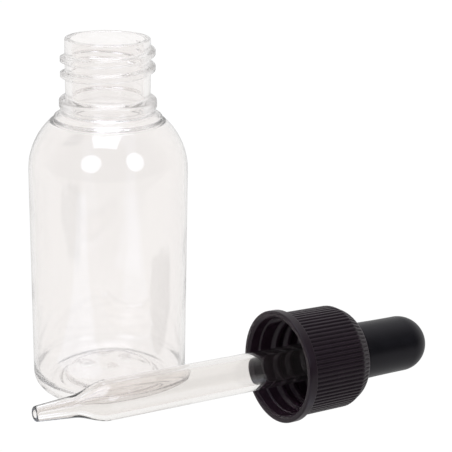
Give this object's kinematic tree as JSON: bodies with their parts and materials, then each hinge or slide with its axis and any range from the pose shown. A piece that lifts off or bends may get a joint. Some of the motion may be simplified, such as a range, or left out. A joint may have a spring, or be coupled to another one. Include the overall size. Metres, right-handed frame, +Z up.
{
  "type": "dropper bottle",
  "caption": "Clear screw-neck bottle with its dropper taken out: ribbed black cap, rubber bulb and glass pipette lying beside it.",
  "frame": {"origin": "centre of the ring that the bottle stands on", "axes": "+Z up the bottle's axis, +X along the lying dropper from pipette tip to bulb, -Y towards the side where the dropper lies"},
  "size_m": [0.0935, 0.0624, 0.0765],
  "materials": {
    "clear_plastic": "clear, glossy blow-moulded polyester, faintly warm grey",
    "clear_glass": "clear, fire-polished glass tube",
    "black_plastic": "black moulded polypropylene, satin",
    "black_rubber": "black rubber with a faint bluish bloom, satin"
  },
  "bodies": {
    "bottle": {"bottle": "clear_plastic"},
    "pipette": {"pipette": "clear_glass"},
    "cap": {"cap": "black_plastic"},
    "bulb": {"bulb": "black_rubber"}
  },
  "joints": [
    {"name": "dropper_lift", "type": "hinge", "parent": "bottle", "child": "pipette", "pos_m": [-0.01314, -0.034, 0.02731], "axis": [0, -1, 0], "range_deg": [0, 93.8]},
    {"name": "cap_turn", "type": "hinge", "parent": "pipette", "child": "cap", "pos_m": [0.0211, -0.034, 0.01187], "axis": [0.9978, 0, -0.0663], "continuous": true},
    {"name": "bulb_squeeze", "type": "slide", "parent": "pipette", "child": "bulb", "axis": [-0.0663, 0, -0.9978], "range_m": [0, 0.003], "stiffness_N_per_m": 900, "deforming": ["bulb"]}
  ]
}
